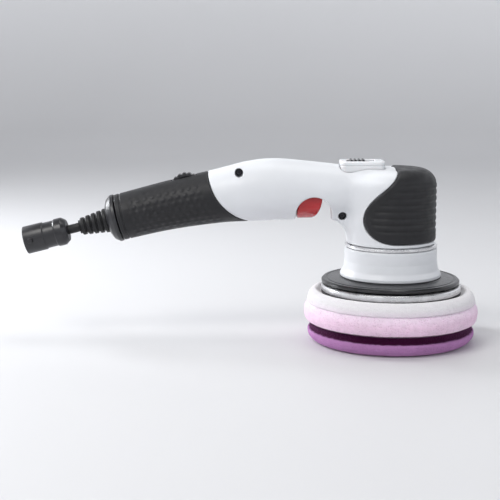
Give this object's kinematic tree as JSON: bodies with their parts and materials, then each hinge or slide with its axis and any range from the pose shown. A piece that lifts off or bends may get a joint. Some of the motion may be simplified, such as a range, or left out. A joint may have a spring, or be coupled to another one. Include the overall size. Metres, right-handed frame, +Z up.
{
  "type": "random orbital polisher",
  "caption": "Compact corded orbital polisher: upright motor head over a two-layer foam pad on an eccentric drive, horizontal handle with red trigger, slide switch and speed dial.",
  "frame": {"origin": "on the motor axis, in the plane of the pad's working face", "axes": "+Z up along the motor axis, away from the work; +X towards the front of the head; the handle runs back along -X"},
  "size_m": [0.3934, 0.15, 0.1568],
  "materials": {
    "casing_grey": "moulded glass-filled nylon, fine spark texture",
    "collar_grey": "satin moulded plastic",
    "grip_rubber": "soft overmoulded rubber with a fine grip texture",
    "black_plastic": "moulded, fine texture",
    "gloss_black": "moulded, gloss",
    "cord_rubber": "extruded rubber",
    "trigger_red": "gloss",
    "switch_light": "semi-gloss",
    "aluminium": "machined",
    "steel": "ground and plated",
    "black_steel": "black oxide",
    "lamination_steel": "stacked electrical steel laminations",
    "magnet": "nickel-plated magnet ring",
    "copper": "enamelled copper wire",
    "board_green": "glass-epoxy circuit board",
    "foam_pink": "open-cell polishing foam, pale pink",
    "foam_purple": "open-cell polishing foam, purple",
    "loop_white": "brushed loop fabric",
    "hook_black": "microcellular cushion with hook face"
  },
  "bodies": {
    "casing": {"shell_left": "casing_grey", "shell_right": "casing_grey", "neck_collar": "collar_grey", "palm_grip": "grip_rubber", "rear_grip": "grip_rubber", "skirt": "gloss_black", "trigger_module": "black_plastic", "power_switch": "black_plastic", "dial_sensor": "black_plastic", "filter_capacitor": "black_plastic", "tail_cap": "black_plastic", "cord_clamp": "black_plastic", "inlet_plug": "black_plastic", "cord_boot": "cord_rubber", "supply_lead": "cord_rubber", "motor_cable": "cord_rubber", "switch_bezel": "switch_light", "bearing_carrier": "aluminium", "motor_can": "aluminium", "heat_sink": "aluminium", "shell_screw_1": "black_steel", "shell_screw_2": "black_steel", "shell_screw_3": "black_steel", "shell_screw_4": "black_steel", "shell_screw_5": "black_steel", "neck_screw_1": "steel", "neck_screw_2": "steel", "neck_screw_3": "steel", "upper_bearing_outer": "steel", "lower_bearing_outer": "steel", "trigger_pin": "steel", "trigger_spring": "steel", "inlet_pin_1": "steel", "inlet_pin_2": "steel", "stator_core": "lamination_steel", "stator_windings": "copper", "controller_board": "board_green"},
    "rotor": {"rotor_core": "lamination_steel", "rotor_magnets": "magnet", "motor_shaft": "steel", "cooling_fan": "black_plastic", "eccentric_hub": "aluminium", "counterweight": "steel", "upper_bearing_inner": "steel", "lower_bearing_inner": "steel", "pad_bearing_outer": "steel"},
    "upper_balls": {"upper_bearing_balls": "steel"},
    "lower_balls": {"lower_bearing_balls": "steel"},
    "pad_balls": {"pad_bearing_balls": "steel"},
    "pad": {"pad_bearing_inner": "steel", "pad_spindle": "steel", "plate_bolt": "steel", "backing_plate": "aluminium", "plate_cushion": "hook_black", "loop_disc": "loop_white", "foam_body": "foam_pink", "foam_face": "foam_purple"},
    "trigger": {"trigger": "trigger_red"},
    "power_slider": {"power_slider": "black_plastic"},
    "speed_dial": {"speed_dial": "black_plastic"}
  },
  "joints": [
    {"name": "motor_spin", "type": "hinge", "parent": "casing", "child": "rotor", "pos_m": [0, 0, 0.06], "axis": [0, 0, 1], "continuous": true},
    {"name": "upper_cage_spin", "type": "hinge", "parent": "casing", "child": "upper_balls", "pos_m": [0, 0, 0.06], "axis": [0, 0, 1], "continuous": true},
    {"name": "lower_cage_spin", "type": "hinge", "parent": "casing", "child": "lower_balls", "pos_m": [0, 0, 0.06], "axis": [0, 0, 1], "continuous": true},
    {"name": "pad_spin", "type": "hinge", "parent": "rotor", "child": "pad", "pos_m": [0, -0.006, 0.06], "axis": [0, 0, 1], "continuous": true},
    {"name": "pad_cage_spin", "type": "hinge", "parent": "rotor", "child": "pad_balls", "pos_m": [0, -0.006, 0.06], "axis": [0, 0, 1], "continuous": true},
    {"name": "trigger_pull", "type": "hinge", "parent": "casing", "child": "trigger", "pos_m": [-0.087, 0, 0.121], "axis": [0, -1, 0], "range_deg": [0, 8], "stiffness_Nm_per_rad": 0.6, "springref_deg": -2.86, "deforming": ["trigger_spring"]},
    {"name": "power_slide", "type": "slide", "parent": "casing", "child": "power_slider", "axis": [1, 0, 0], "range_m": [0, 0.007]},
    {"name": "speed_dial_turn", "type": "hinge", "parent": "casing", "child": "speed_dial", "pos_m": [-0.176, 0, 0.13], "axis": [0, 1, 0], "range_deg": [0, 270]}
  ],
  "couplings": [
    {"joint": "upper_cage_spin", "follows": "motor_spin", "ratio": 0.3992},
    {"joint": "lower_cage_spin", "follows": "motor_spin", "ratio": 0.4039},
    {"joint": "pad_cage_spin", "follows": "pad_spin", "ratio": 0.4134}
  ]
}
